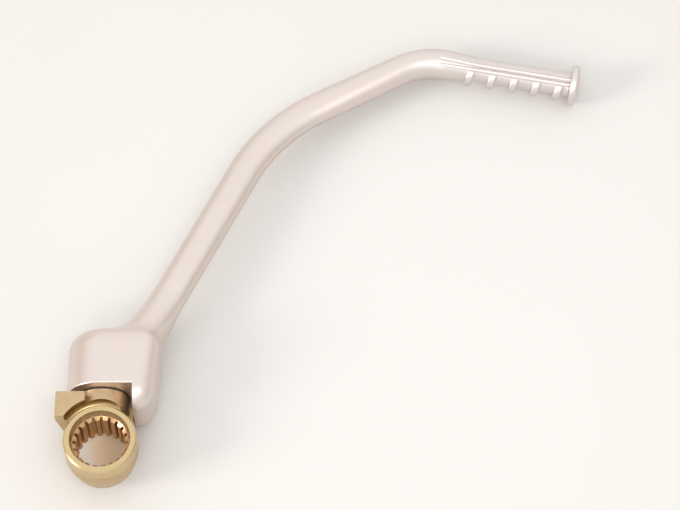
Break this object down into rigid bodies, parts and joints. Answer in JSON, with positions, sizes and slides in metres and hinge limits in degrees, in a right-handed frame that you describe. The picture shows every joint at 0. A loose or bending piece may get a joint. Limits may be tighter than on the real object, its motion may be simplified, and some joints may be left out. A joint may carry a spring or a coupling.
{
  "type": "kick start lever",
  "caption": "Folding kick start lever: a bent forged alloy arm with a toothed foot peg, hinged through its boss on a gold plated steel knuckle with a splined bore.",
  "frame": {"origin": "on the spline's axis at the hub's mid length, where the hinge axis crosses it", "axes": "+Z along the spline, away from the engine; +Y along the hinge pin, from the hub to the arm's boss; +X towards the foot peg with the arm folded in"},
  "size_m": [0.1962, 0.1855, 0.027],
  "materials": {
    "forged_alloy": "satin, tumbled",
    "gold_zinc_steel": "turned and plated in yellow zinc",
    "seal_rubber": "moulded",
    "ball_steel": "polished",
    "spring_steel": "drawn wire",
    "plain_zinc_steel": "plated in clear zinc",
    "black_steel": "black oxide"
  },
  "bodies": {
    "knuckle_body": {"knuckle": "gold_zinc_steel", "dust_seal": "seal_rubber", "detent_spring": "spring_steel", "pivot_washer": "plain_zinc_steel", "pivot_screw": "black_steel"},
    "arm_body": {"kick_arm": "forged_alloy"},
    "ball_body": {"detent_ball": "ball_steel"}
  },
  "joints": [
    {"name": "fold", "type": "hinge", "parent": "knuckle_body", "child": "arm_body", "pos_m": [0, 0, 0], "axis": [0, -1, 0], "range_deg": [0, 90]},
    {"name": "ball_slide", "type": "slide", "parent": "knuckle_body", "child": "ball_body", "axis": [0, 0, 1], "range_m": [0, 0.0006], "stiffness_N_per_m": 3000, "springref_m": 0.003, "deforming": ["detent_spring"]}
  ]
}
